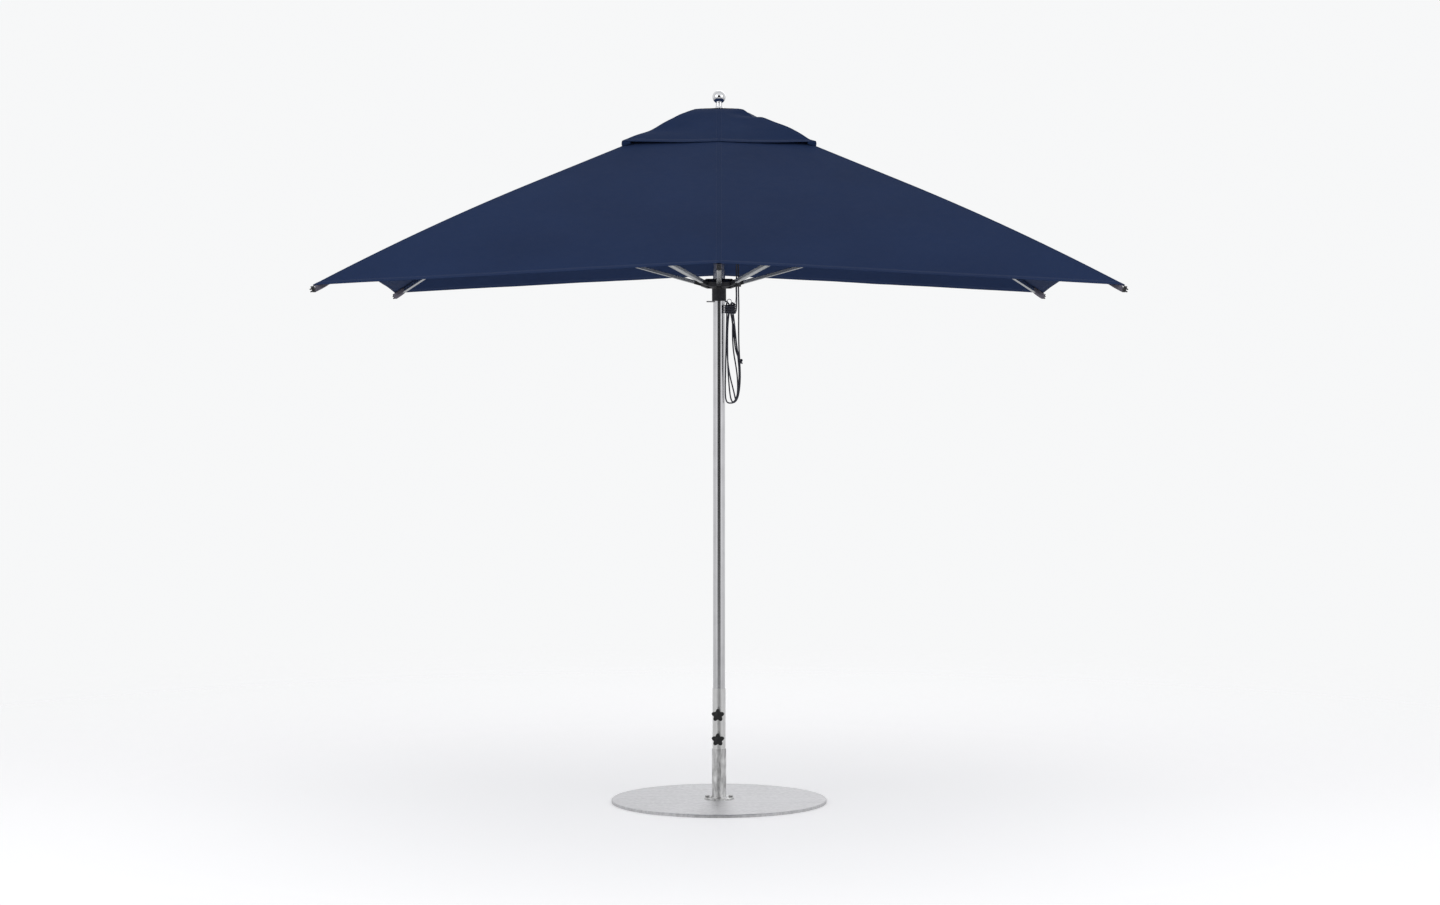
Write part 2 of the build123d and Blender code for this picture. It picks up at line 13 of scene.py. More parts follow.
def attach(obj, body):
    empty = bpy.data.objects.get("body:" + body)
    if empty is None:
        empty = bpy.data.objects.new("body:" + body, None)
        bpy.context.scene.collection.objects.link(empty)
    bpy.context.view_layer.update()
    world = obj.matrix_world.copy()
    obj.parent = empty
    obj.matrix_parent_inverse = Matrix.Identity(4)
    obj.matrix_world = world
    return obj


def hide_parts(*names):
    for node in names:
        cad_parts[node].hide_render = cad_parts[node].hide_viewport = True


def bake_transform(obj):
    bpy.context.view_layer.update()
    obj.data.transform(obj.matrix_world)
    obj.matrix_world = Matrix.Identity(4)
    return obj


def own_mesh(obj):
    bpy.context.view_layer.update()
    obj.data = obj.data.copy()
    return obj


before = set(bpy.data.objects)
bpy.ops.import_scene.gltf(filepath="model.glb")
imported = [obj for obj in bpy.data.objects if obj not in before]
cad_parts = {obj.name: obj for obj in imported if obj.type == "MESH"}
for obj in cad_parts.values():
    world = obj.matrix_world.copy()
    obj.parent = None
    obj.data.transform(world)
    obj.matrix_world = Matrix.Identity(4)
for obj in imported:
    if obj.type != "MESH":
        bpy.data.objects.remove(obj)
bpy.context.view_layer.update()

# ---- driving dimensions -------------------------------------------------------------------
# Canopy, as in the frame's own geometry
HALF, CORNER_TIP_Z, SIDE_TIP_Z = 1.524, 2.175, 2.257
HUB_R, HUB_Z = 0.060, 2.908
RIB_BELOW_RIDGE = 0.0165
CORNER_LIFT, SIDE_LIFT = radians(1.19), radians(0.5)
CORNER_BEND_START, SIDE_BEND_START = 0.47, 0.67
VENT_HOLE_HALF, CAP_HALF, CAP_TOP_HALF, CAP_TOP_Z, CAP_SLOPE = 0.300, 0.398, 0.0995, 2.933, 0.520
CAP_INNER, CAP_UNDER_PATCH = 0.056, 0.0006  # the cap gores reach in under the patch below the finial
CAP_SAG, CROWN_ROUNDING = 0.004, 0.004
CLOTH_T, SEAM_T, TAB_T = 0.0012, 0.0008, 0.001
HEM_W, HEM_LIFT = 0.022, 0.0007
SCALLOP, SAG = 0.010, 0.005
MAIN_RIPPLE, CAP_RIPPLE = 0.0022, 0.0030
MAIN_CUT_SLOPE, CAP_CUT_SLOPE = 0.4455, 0.45  # the mean slope of the cloth, for the size that it was cut to
MAIN_KEEP, CAP_KEEP = 0.12, 0.24  # the part of its width that a half gore keeps when the umbrella closes
MAIN_SEAM_HALF, CAP_SEAM_HALF, CAP_SEAM_INNER, SEAM_SWELL = 0.0075, 0.0065, 0.062, 0.0005
POCKET_LENGTH, POCKET_HALF_WIDTH, POCKET_HALF_HEIGHT, POCKET_BAGGING = 0.082, 0.0112, 0.0142, 0.0012
TAB_REACH = 0.034

# Struts: the pivots on the runner, and how far the resin reaches at each end
RUNNER_PIVOT_R, STRUT_FOOT, STRUT_TONGUE = 0.069, 0.0335, 0.034

# Rope: the eyes under the runner, and the upright plane of the tied hank
ROPE_D = 0.006
EYE_FRONT, EYE_RIGHT = (0.0734, -0.0423), (0.0818, -0.0220)
EYE_TOP, EYE_FOOT = 2.204, 2.186
SHEAVE_Z, SHEAVE_R, ROPE_AZIMUTH, ROPE_R = 2.896, 0.011, radians(-22.5), 0.084
HANK_LEFT, HANK_RIGHT = Vector((0.021, -0.028, 0)), Vector((0.093, -0.018, 0))
NECK_X, NECK_FOOT, NECK_TURNS, NECK_PITCH = 0.0465, 2.074, 5, 0.0072
NECK_HALF_WIDTH, NECK_HALF_DEPTH, NECK_START = 0.0225, 0.0150, -20
POINTS_A_TURN = 12
KNOT, KNOT_SIZE = (0.0886, 1.873), (0.0026, 0.0042, 0.0030)

# Clamp knobs
KNOB_HEIGHTS = {"lower": 0.271, "upper": 0.375}
KNOB_AZIMUTH = radians(-95)
KNOB_START, KNOB_R, KNOB_VALLEY_R, KNOB_BOSS_R = 0.045, 0.0275, 0.0180, 0.024
STUD_START, STUD_CREST_R, STUD_ROOT_R = 0.0257, 0.0047, 0.0041

# The weld at the foot of the socket tube
SOCKET_R, WELD_Z, WELD_SIZE, WELD_OVERLAP = 0.03015, 0.0187, 0.0052, 0.0003

# Camera (lens in millimetres, tilt in degrees) and lights (place, aim, size and power)
CAMERA_PLACE, CAMERA_LENS, CAMERA_TILT = (0.004, -13.64, 2.025), 80.6, 2.265
LIGHTS = {
    "left": ((-3.9, -3.6, 4.4), (-0.9, -0.6, 2.2), 2.5, 75),
    "right": ((3.9, -3.6, 4.2), (0.9, -0.6, 2.2), 2.5, 60),
    "back": ((1.0, 6.5, 5.5), (0, 0, 2.0), 4.0, 60),
}
# Greys of the room from its -Y side to its +Y side: (place from 0 to 1, grey)
ROOM_TONES = ((0.0, 0.05), (0.045, 0.05), (0.085, 1.0), (0.30, 0.95), (0.50, 0.70), (0.62, 0.95), (1.0, 0.85))
FLOOR_HALF, FLOOR_FADE_START, FLOOR_FADE_END = 60.0, 1.5, 7.0

AZIMUTHS = (0, 45, 90, 135, 180, 225, 270, 315)


# ---- material helpers ---------------------------------------------------------------------
class Material:
    """A Principled material whose nodes are added one by one."""

    def __init__(self, name, colour, roughness, metallic=0.0):
        self.material = bpy.data.materials.new(name)
        self.material.use_nodes = True
        self.tree = self.material.node_tree
        self.shader = self.tree.nodes["Principled BSDF"]
        self.set("Base Color", (*colour, 1))
        self.set("Roughness", roughness)
        self.set("Metallic", metallic)
        self.place = self.node("ShaderNodeTexCoord").outputs["Object"]

    def set(self, socket, value):
        self.shader.inputs[socket].default_value = value

    def node(self, kind, **settings):
        made = self.tree.nodes.new(kind)
        for key, value in settings.items():
            if key in made.inputs:
                made.inputs[key].default_value = value
            else:
                setattr(made, key, value)
        return made

    def link(self, source, target):
        self.tree.links.new(source, target)

    def feed(self, socket, value):
        """Gives a socket a number, a colour of three numbers, or another node's output."""
        if isinstance(value, tuple):
            socket.default_value = (*value, 1)
        elif isinstance(value, (int, float)):
            socket.default_value = value
        else:
            self.link(value, socket)

    def stretched(self, scale):
        """Object coordinates, scaled along each axis."""
        mapping = self.node("ShaderNodeMapping")
        mapping.inputs["Scale"].default_value = scale
        self.link(self.place, mapping.inputs["Vector"])
        return mapping.outputs["Vector"]

    def noise(self, scale, detail=4.0, stretch=None):
        made = self.node("ShaderNodeTexNoise", Scale=scale, Detail=detail)
        self.link(self.stretched(stretch) if stretch else self.place, made.inputs["Vector"])
        return made.outputs["Fac"]

    def wave(self, scale, direction, stretch=None):
        made = self.node("ShaderNodeTexWave", Scale=scale, Distortion=0.4, bands_direction=direction)
        self.link(self.stretched(stretch) if stretch else self.place, made.inputs["Vector"])
        return made.outputs["Fac"]

    def ramp(self, source, low, high, at=(0.35, 0.65)):
        """Maps a 0 to 1 value to a colour between two."""
        made = self.node("ShaderNodeValToRGB")
        for element, where, colour in zip(made.color_ramp.elements, at, (low, high)):
            element.position = where
            element.color = (*colour, 1)
        self.link(source, made.inputs["Fac"])
        return made.outputs["Color"]

    def span(self, source, low, high):
        """Maps a 0 to 1 value to a number between two."""
        made = self.node("ShaderNodeMapRange")
        made.inputs["To Min"].default_value = low
        made.inputs["To Max"].default_value = high
        self.link(source, made.inputs["Value"])
        return made.outputs["Result"]

    def maths(self, operation, first, second=0.0):
        made = self.node("ShaderNodeMath", operation=operation)
        for socket, value in zip(made.inputs, (first, second)):
            self.feed(socket, value)
        return made.outputs["Value"]

    def mix(self, factor, first, second):
        """Mixes two colours, each a socket or three numbers."""
        made = self.node("ShaderNodeMix", data_type="RGBA")
        self.link(factor, made.inputs["Factor"])
        self.feed(made.inputs[6], first)
        self.feed(made.inputs[7], second)
        return made.outputs[2]

    def bump(self, height, distance, strength=1.0, under=None):
        made = self.node("ShaderNodeBump", Strength=strength, Distance=distance)
        self.link(height, made.inputs["Height"])
        if under is not None:
            self.link(under, made.inputs["Normal"])
        return made.outputs["Normal"]

    def use(self, socket, source):
        self.link(source, self.shader.inputs[socket])

    def mix_surface(self, factor, other):
        """Makes the surface a mix of this shader and another one."""
        mixed = self.node("ShaderNodeMixShader")
        self.feed(mixed.inputs["Fac"], factor)
        self.link(self.shader.outputs["BSDF"], mixed.inputs[1])
        self.link(other.outputs["BSDF"], mixed.inputs[2])
        self.link(mixed.outputs["Shader"], self.tree.nodes["Material Output"].inputs["Surface"])


# ---- materials ----------------------------------------------------------------------------
NAVY, NAVY_DEEP, NAVY_PALE = (0.0120, 0.0295, 0.0900), (0.0100, 0.0250, 0.0780), (0.0180, 0.0390, 0.1080)
GLOW, GLOW_SHARE = (0.030, 0.105, 0.270), 0.20  # light that comes through the cloth
WEAVE = 210.0
THREAD, THREAD_HALF = (0.040, 0.060, 0.130), 0.00045
STITCH_PITCH, STITCH_SHARE = 0.0042, 0.68  # a stitch and its gap, and the part of that which is thread
STITCH_ROWS = (("hem", (0.0035, 0.0185)), ("ridge", (0.0055, 0.0100)))


def fabric(name, stitched):
    """Solution-dyed woven acrylic, with lock stitches beside hems and seams."""
    m = Material(name, NAVY, 0.82)
    m.set("Sheen Weight", 0.05)
    m.set("Sheen Roughness", 0.45)
    m.set("Sheen Tint", (0.60, 0.68, 0.90, 1))
    m.set("Specular IOR Level", 0.12)
    cloudy = m.ramp(m.noise(2.2, 3.0), NAVY_DEEP, NAVY)
    heather = m.ramp(m.noise(900.0, 2.0), (0.0, 0.0, 0.0), (1.0, 1.0, 1.0), (0.45, 0.75))
    colour = m.mix(m.maths("MULTIPLY", heather, 0.35), cloudy, NAVY_PALE)
    weave = m.maths("MULTIPLY", m.wave(WEAVE, "X"), m.wave(WEAVE, "Y"))
    normal = m.bump(weave, 0.0003, 0.35, m.bump(m.noise(14.0, 3.0), 0.004, 0.12))
    if stitched:
        colour, normal = stitches(m, colour, normal)
    m.use("Base Color", colour)
    m.use("Roughness", m.span(m.noise(30.0), 0.76, 0.9))
    m.use("Normal", normal)
    glow = m.node("ShaderNodeBsdfTranslucent")
    m.feed(glow.inputs["Color"], GLOW)
    m.mix_surface(GLOW_SHARE, glow)
    return m.material


def stitches(m, colour, normal):
    """Rows of thread at fixed distances from the hem and the ridge seam, kept on the mesh as numbers."""
    rows = None
    for layer, distances in STITCH_ROWS:
        parts = m.node("ShaderNodeSeparateXYZ")
        m.link(m.node("ShaderNodeAttribute", attribute_name=layer).outputs["Vector"], parts.inputs["Vector"])
        dash = m.maths("FRACT", m.maths("DIVIDE", parts.outputs["Y"], STITCH_PITCH))
        dash = m.maths("LESS_THAN", dash, STITCH_SHARE)
        for distance in distances:
            away = m.maths("ABSOLUTE", m.maths("SUBTRACT", parts.outputs["X"], distance))
            row = m.maths("MULTIPLY", m.maths("LESS_THAN", away, THREAD_HALF), dash)
            rows = row if rows is None else m.maths("MAXIMUM", rows, row)
    return m.mix(rows, colour, THREAD), m.bump(rows, 0.0004, 0.6, normal)


def webbing(name):
    """Grey woven tape."""
    m = Material(name, (0.13, 0.12, 0.155), 0.8)
    m.set("Specular IOR Level", 0.15)
    ribbed = m.wave(260.0, "DIAGONAL")
    m.use("Base Color", m.ramp(m.maths("MULTIPLY", ribbed, m.span(m.noise(80.0), 0.7, 1.1)),
                               (0.085, 0.080, 0.110), (0.19, 0.18, 0.21), (0.2, 0.9)))
    m.use("Roughness", m.span(m.noise(60.0), 0.72, 0.9))
    m.use("Normal", m.bump(ribbed, 0.0006, 0.5))
    return m.material


def brushed(name, colour, low, high, grain, scuff=0.0):
    """Metal with a directional grain: grain holds the stretch of the scratches along each axis."""
    m = Material(name, colour, low, 1.0)
    fine = m.noise(1.0, 3.0, grain)
    cloudy = m.noise(22.0, 5.0)
    rough = m.span(fine, low, high)
    if scuff:
        rough = m.maths("ADD", rough, m.maths("MULTIPLY", m.maths("SUBTRACT", cloudy, 0.5), scuff))
    m.use("Roughness", rough)
    shade = tuple(0.82 * part for part in colour)
    m.use("Base Color", m.ramp(m.maths("ADD", m.maths("MULTIPLY", fine, 0.6), m.maths("MULTIPLY", cloudy, 0.4)),
                               shade, colour, (0.3, 0.6)))
    m.use("Normal", m.bump(fine, 0.0002, 0.12))
    return m.material


def resin(name, colour, roughness):
    """Moulded glass-filled plastic with a fine spark-eroded grain."""
    m = Material(name, colour, roughness)
    m.set("Specular IOR Level", 0.45)
    grain = m.noise(1400.0, 2.0)
    worn = tuple(min(1.0, 1.5 * part + 0.006) for part in colour)
    m.use("Base Color", m.ramp(m.noise(45.0, 5.0), colour, worn, (0.5, 0.85)))
    m.use("Roughness", m.span(m.noise(60.0), roughness - 0.08, roughness + 0.12))
    m.use("Normal", m.bump(grain, 0.0003, 0.3))
    return m.material


def polished(name, colour, roughness):
    """Smooth bright metal, very slightly uneven."""
    m = Material(name, colour, roughness, 1.0)
    m.use("Roughness", m.span(m.noise(60.0, 5.0), roughness, roughness + 0.05))
    m.use("Normal", m.bump(m.noise(24.0, 2.0), 0.0006, 0.05))
    return m.material


def braided(name):
    """Braided cord: two sets of slanting strands, dark between them as painted shade, with paler crowns as a painted
    highlight.
    """
    m = Material(name, (0.030, 0.031, 0.042), 0.75)
    m.set("Sheen Weight", 0.06)
    m.set("Specular IOR Level", 0.25)
    rising = m.wave(90.0, "DIAGONAL", (1.0, 1.0, 1.6))
    falling = m.wave(90.0, "DIAGONAL", (-1.0, -1.0, 1.6))
    strands = m.maths("MAXIMUM", rising, falling)
    # The strand pattern sets the colour: the paler crowns are a painted highlight and the dark between the strands is
    # painted shade
    m.use("Base Color", m.ramp(m.maths("MULTIPLY", strands, m.span(m.noise(120.0), 0.6, 1.1)),
                               (0.028, 0.029, 0.040), (0.115, 0.120, 0.150), (0.35, 0.95)))
    m.use("Roughness", m.span(m.noise(150.0), 0.68, 0.86))
    m.use("Normal", m.bump(strands, 0.0008, 0.6))
    return m.material


def plate_metal():
    """Brushed stainless plate: an orbital-sanded sheen, a few long scuffs."""
    m = Material("plate_steel", (0.70, 0.70, 0.71), 0.4, 0.85)
    swirl = m.noise(1.0, 6.0, (60.0, 60.0, 60.0))
    streak = m.noise(1.0, 4.0, (3.0, 240.0, 30.0))
    cloudy = m.noise(5.0, 5.0)
    mixed = m.maths("ADD", m.maths("MULTIPLY", swirl, 0.5), m.maths("MULTIPLY", streak, 0.5))
    sanded = m.ramp(mixed, (0.52, 0.52, 0.53), (0.80, 0.80, 0.81), (0.40, 0.60))
    m.use("Base Color", m.mix(cloudy, sanded, (0.70, 0.70, 0.71)))
    m.use("Roughness", m.span(m.maths("ADD", m.maths("MULTIPLY", mixed, 0.6), m.maths("MULTIPLY", cloudy, 0.4)),
                              0.30, 0.55))
    m.use("Normal", m.bump(mixed, 0.0003, 0.15))
    return m.material


def mottled(name):
    """Hot-rolled stainless, pickled after welding: blotchy, with short vertical streaks."""
    m = Material(name, (0.62, 0.62, 0.61), 0.45, 1.0)
    blotches = m.noise(34.0, 6.0, (1.0, 1.0, 0.55))
    streaks = m.noise(1.0, 4.0, (190.0, 190.0, 24.0))
    mixed = m.maths("ADD", m.maths("MULTIPLY", blotches, 0.6), m.maths("MULTIPLY", streaks, 0.4))
    m.use("Base Color", m.ramp(mixed, (0.42, 0.42, 0.415), (0.92, 0.92, 0.91), (0.38, 0.60)))
    m.use("Roughness", m.span(mixed, 0.30, 0.62))
    m.use("Normal", m.bump(mixed, 0.0005, 0.3))
    return m.material


GRAIN_Z = (260.0, 260.0, 3.0)
MATERIALS = {
    "canopy_fabric": fabric("canopy_fabric", True),
    "patch_fabric": fabric("patch_fabric", False),
    "pocket_webbing": webbing("pocket_webbing"),
    "plate_steel": plate_metal(),
    "stem_steel": brushed("stem_steel", (0.90, 0.90, 0.89), 0.26, 0.46, (300.0, 300.0, 10.0), 0.20),
    "socket_steel": mottled("socket_steel"),
    "pole_aluminium": brushed("pole_aluminium", (0.80, 0.80, 0.81), 0.08, 0.16, GRAIN_Z),
    "rib_aluminium": brushed("rib_aluminium", (0.74, 0.76, 0.77), 0.22, 0.30, (8.0, 8.0, 8.0), 0.05),
    "bolt_steel": polished("bolt_steel", (0.55, 0.55, 0.54), 0.25),
    "pin_steel": polished("pin_steel", (0.72, 0.72, 0.71), 0.16),
    "chain_steel": polished("chain_steel", (0.62, 0.62, 0.60), 0.22),
    "finial_chrome": polished("finial_chrome", (0.86, 0.87, 0.88), 0.035),
    "hub_resin": resin("hub_resin", (0.030, 0.030, 0.034), 0.42),
    "fitting_resin": resin("fitting_resin", (0.026, 0.027, 0.030), 0.48),
    "knob_resin": resin("knob_resin", (0.012, 0.012, 0.013), 0.42),
    "pulley_resin": resin("pulley_resin", (0.10, 0.10, 0.10), 0.40),
    "bushing_nylon": resin("bushing_nylon", (0.045, 0.045, 0.048), 0.45),
    "lift_rope": braided("lift_rope"),
}
NODE_MATERIALS = {
    "base_plate": "plate_steel", "stem_flange": "socket_steel", "flange_bolts": "bolt_steel",
    "stem_socket_tube": "socket_steel", "stem_sleeve": "stem_steel", "knob_nuts": "stem_steel",
    "pole": "pole_aluminium", "pole_foot_plug": "bushing_nylon", "top_hub": "hub_resin",
    "rib_hinge_pins": "pin_steel", "hub_cap": "hub_resin", "finial": "finial_chrome",
    "finial_stud": "pin_steel", "pulley_axle": "pin_steel", "hub_pulley": "pulley_resin",
    "runner_hub": "hub_resin", "runner_bushing": "bushing_nylon", "lock_pin": "pin_steel",
}
for number in range(1, 9):
    NODE_MATERIALS[f"rib_{number}"] = "rib_aluminium"
    NODE_MATERIALS[f"rib_fittings_{number}"] = "fitting_resin"
    NODE_MATERIALS[f"strut_{number}"] = "rib_aluminium"
for node_name, material_name in NODE_MATERIALS.items():
    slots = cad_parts[node_name].data.materials
    slots.clear()
    slots.append(MATERIALS[material_name])


def paint_strut_ends():
    """A strut is an aluminium tube with a resin foot and tongue, so its faces take one or the other."""
    for number in range(1, 9):
        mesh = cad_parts[f"strut_{number}"].data
        mesh.materials.append(MATERIALS["fitting_resin"])
        reach = [hypot(vertex.co.x, vertex.co.y) for vertex in mesh.vertices]
        foot_end, tongue_start = RUNNER_PIVOT_R + STRUT_FOOT, max(reach) - STRUT_TONGUE
        for face in mesh.polygons:
            r = hypot(face.center.x, face.center.y)
            face.material_index = 1 if r < foot_end or r > tongue_start else 0


paint_strut_ends()


# ---- mesh helpers -------------------------------------------------------------------------
def added(name, data):
    """A new object in the scene."""
    made = bpy.data.objects.new(name, data)
    bpy.context.scene.collection.objects.link(made)
    return made


def new_object(name, vertices, faces, material):
    mesh = bpy.data.meshes.new(name)
    mesh.from_pydata([tuple(v) for v in vertices], [], faces)
    mesh.materials.append(MATERIALS[material])
    mesh.polygons.foreach_set("use_smooth", [True] * len(mesh.polygons))
    return added(name, mesh)


def finished(made, angle=40):
    """Applies the modifiers and keeps edges sharper than this angle crisp."""
    evaluated = made.evaluated_get(bpy.context.evaluated_depsgraph_get())
    mesh = bpy.data.meshes.new_from_object(evaluated)
    made.modifiers.clear()
    made.data = mesh
    mesh.set_sharp_from_angle(angle=radians(angle))
    return made


def thick(made, thickness, offset=-1.0):
    solidify = made.modifiers.new("thickness", "SOLIDIFY")
    solidify.thickness = thickness
    solidify.offset = offset
    return finished(made)


def grid_faces(rows, columns, flip=False, closed=False, looped=False):
    """Faces of a grid. closed joins its last column to the first, and looped its last row to the first."""
    faces = []
    for i in range(rows if looped else rows - 1):
        for j in range(columns if closed else columns - 1):
            n, k = (i + 1) % rows, (j + 1) % columns
            face = (i * columns + j, n * columns + j, n * columns + k, i * columns + k)
            faces.append(face[::-1] if flip else face)
    return faces


def face_outwards(made, open_sheet=False):
    """Turns all faces outwards, or upwards on an open sheet."""
    bm = bmesh.new()
    bm.from_mesh(made.data)
    bmesh.ops.recalc_face_normals(bm, faces=bm.faces)
    if open_sheet and sum(face.normal.z for face in bm.faces) < 0:
        bmesh.ops.reverse_faces(bm, faces=bm.faces)
    bm.to_mesh(made.data)
    bm.free()


def turned(point, azimuth, side=1):
    """A point of the gore pair around +X, mirrored if side is -1, at its azimuth in degrees."""
    x, y, z = point[0], side * point[1], point[2]
    c, s = cos(radians(azimuth)), sin(radians(azimuth))
    return Vector((c * x - s * y, s * x + c * y, z))


def shell(name, rings, material, looped=False):
    """A surface through rings of equally many points. Its ends are closed, or joined to each other if looped."""
    count = len(rings[0])
    vertices = [point for ring in rings for point in ring]
    faces = grid_faces(len(rings), count, closed=True, looped=looped)
    if not looped:
        faces.append(tuple(range(count)))
        faces.append(tuple(range(len(vertices) - 1, len(vertices) - count - 1, -1)))
    made = new_object(name, vertices, faces, material)
    face_outwards(made)
    return made


# ---- canopy shape -------------------------------------------------------------------------
class Ridge:
    """The line of the fabric over one rib: straight from the hub, then bent down to the tip."""

    def __init__(self, tip_r, tip_z, lift, bend_start):
        centre_tip_z = tip_z - RIB_BELOW_RIDGE
        chord = hypot(HUB_Z - centre_tip_z, tip_r - HUB_R)
        self.tip_r = tip_r
        self.angle = atan2(HUB_Z - centre_tip_z, tip_r - HUB_R) - lift
        bend_x, tip_x, drop = bend_start * chord, chord * cos(lift), chord * sin(lift)
        self.bend_r = ((tip_x - bend_x) ** 2 + drop**2) / (2 * drop)
        self.tip_angle = self.angle + asin((tip_x - bend_x) / self.bend_r)
        self.start_r = HUB_R + bend_x * cos(self.angle)
        self.centre_r = self.start_r - self.bend_r * sin(self.angle)
        self.centre_z = HUB_Z - bend_x * sin(self.angle) - self.bend_r * cos(self.angle)

    def height(self, r):
        if r <= self.start_r:
            return HUB_Z + RIB_BELOW_RIDGE - (r - HUB_R) * tan(self.angle)
        return self.centre_z + (self.bend_r**2 - (r - self.centre_r) ** 2) ** 0.5 + RIB_BELOW_RIDGE


CORNER = Ridge(HALF * 2**0.5, CORNER_TIP_Z, CORNER_LIFT, CORNER_BEND_START)
SIDE = Ridge(HALF, SIDE_TIP_Z, SIDE_LIFT, SIDE_BEND_START)


def roof(x, share):
    """Height of the main canopy over (x, share * x): taut over the ribs, with a slight sag between them."""
    taut = (1 - share) * SIDE.height(x) + share * CORNER.height(x * 2**0.5)
    outward = (x - VENT_HOLE_HALF) / (HALF - VENT_HOLE_HALF)
    return taut - SAG * sin(pi * share) * outward


def bulge(x, middle, width):
    """A smooth hump of height 1."""
    return exp(-(((x - middle) / width) ** 2))


# How each corner ridge of the cap departs from a straight fall: (height, middle, width) of each crease
CAP_CREASES = {
    45: ((-0.014, 0.138, 0.028), (0.004, 0.280, 0.050)),
    135: ((-0.007, 0.270, 0.045), (0.003, 0.150, 0.030)),
    225: ((-0.009, 0.284, 0.045), (0.002, 0.165, 0.020)),
    315: ((-0.018, 0.142, 0.026), (0.006, 0.288, 0.050), (-0.005, 0.372, 0.022)),
}


def cap_roof(x, share, corner):
    """Height of the vent cap: a flat crown, then a fall to its hem, with the creases of its corner."""
    z = CAP_TOP_Z - CAP_UNDER_PATCH - CAP_SLOPE * max(0.0, x - CAP_TOP_HALF)
    crown = CROWN_ROUNDING * bulge(x, CAP_TOP_HALF, 0.020)  # the cloth rounds over the edge of the crown
    creases = sum(height * bulge(x, middle, width) for height, middle, width in CAP_CREASES[corner])
    sag = CAP_SAG * sin(pi * share) * min(1.0, max(0.0, (x - CAP_TOP_HALF) / 0.15))
    return z - crown + creases * share**1.6 - sag


def cloth_ripple(point, share, strength):
    """Small standing waves of the cloth, nil at the ribs."""
    wave_at = noise.noise(Vector((point.x * 3.1, point.y * 3.1, 0.7)))
    fine = noise.noise(Vector((point.x * 11.0, point.y * 11.0, 3.3)))
    return strength * sin(pi * share) * (wave_at + 0.35 * fine)


def put_numbers(made, name, values):
    """Keeps three numbers for each vertex on the mesh, for its material."""
    layer = made.data.attributes.new(name, "FLOAT_VECTOR", "POINT")
    layer.data.foreach_set("vector", [number for value in values for number in value])


def half_gore(name, stations, shares, height, rib_azimuth, gore_azimuth, side, outer, scallop, strength):
    """One half gore of cloth. stations are distances from the pole, the last few of them measured from the hem."""
    vertices, hem, ridge = [], [], []
    ridge_share = 1.0 if rib_azimuth % 90 else 0.0
    for x in stations:
        for share in shares:
            pull = scallop * 4 * share * (1 - share)
            grown = max(0.0, (x - 0.75 * outer) / (0.25 * outer))
            here = x - pull * grown**2
            point = turned((here, share * here, 0), gore_azimuth, side)
            point.z = height(here, share)
            from_hem = outer - x
            lift = HEM_LIFT if from_hem < HEM_W else 0.0
            point.z += lift + cloth_ripple(point, share, strength)
            vertices.append(point)
            run = hypot(here, share * here)
            across = abs(share - ridge_share) * here * (2**-0.5 if ridge_share else 1.0)
            hem.append((from_hem, share * here, 0.0))
            ridge.append((across, run, 0.0))
    made = new_object(name, vertices, grid_faces(len(stations), len(shares), flip=side < 0), "canopy_fabric")
    put_numbers(made, "hem", hem)
    put_numbers(made, "ridge", ridge)
    return thick(made, CLOTH_T)


def stations_between(inner, outer, count):
    """Evenly spaced rows, then rows close to the step of the hem."""
    body_end = outer - HEM_W - 0.004
    rows = [inner + (body_end - inner) * i / (count - 1) for i in range(count)]
    return rows + [outer - HEM_W - 0.0005, outer - HEM_W + 0.0005, outer - 0.010, outer]


def share_list(rib_azimuth, count):
    """Where a half gore's columns lie, from 0 at the middle of a side to 1 at its corner."""
    low, high = (0.5, 1.0) if rib_azimuth % 90 else (0.0, 0.5)
    return [low + (high - low) * i / (count - 1) for i in range(count)]


def folded_towards_rib(made, number, inner, outer, height, gore_azimuth, side):
    """Rides on its rib."""
    share = 1.0 if AZIMUTHS[number - 1] % 90 else 0.0
    near = turned((inner, share * inner, height(inner, share)), gore_azimuth, side)
    far = turned((outer, share * outer, height(outer, share)), gore_azimuth, side)
    middle = turned((outer, 0.5 * outer, height(outer, 0.5)), gore_azimuth, side)
    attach(made, f"rib_{number}")
    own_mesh(made)


def canopy():
    """Main canopy and vent cap, as two half gores of each beside every rib."""
    for number, azimuth in enumerate(AZIMUTHS, start=1):
        shares = share_list(azimuth, 15)
        for side, label in ((1, "left"), (-1, "right")):
            # A corner rib carries the end of the gore before it and the start of the next one
            gore_azimuth = azimuth - 45 * side if azimuth % 90 else azimuth

            def cap_height(x, share, corner=(gore_azimuth + 45 * side) % 360):
                return cap_roof(x, share, corner)

            for kind, inner, outer, rows, height, scallop, ripple, slope, keep in (
                    ("canopy_gore", VENT_HOLE_HALF, HALF, 44, roof, SCALLOP, MAIN_RIPPLE, MAIN_CUT_SLOPE, MAIN_KEEP),
                    ("cap_gore", CAP_INNER, CAP_HALF, 34, cap_height, 0.0, CAP_RIPPLE, CAP_CUT_SLOPE, CAP_KEEP)):
                made = half_gore(f"{kind}_{number}_{label}", stations_between(inner, outer, rows), shares, height,
                                 azimuth, gore_azimuth, side, outer, scallop, ripple)
                folded_towards_rib(made, number, inner, outer, height, gore_azimuth, side)
        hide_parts(f"canopy_panel_{number}")


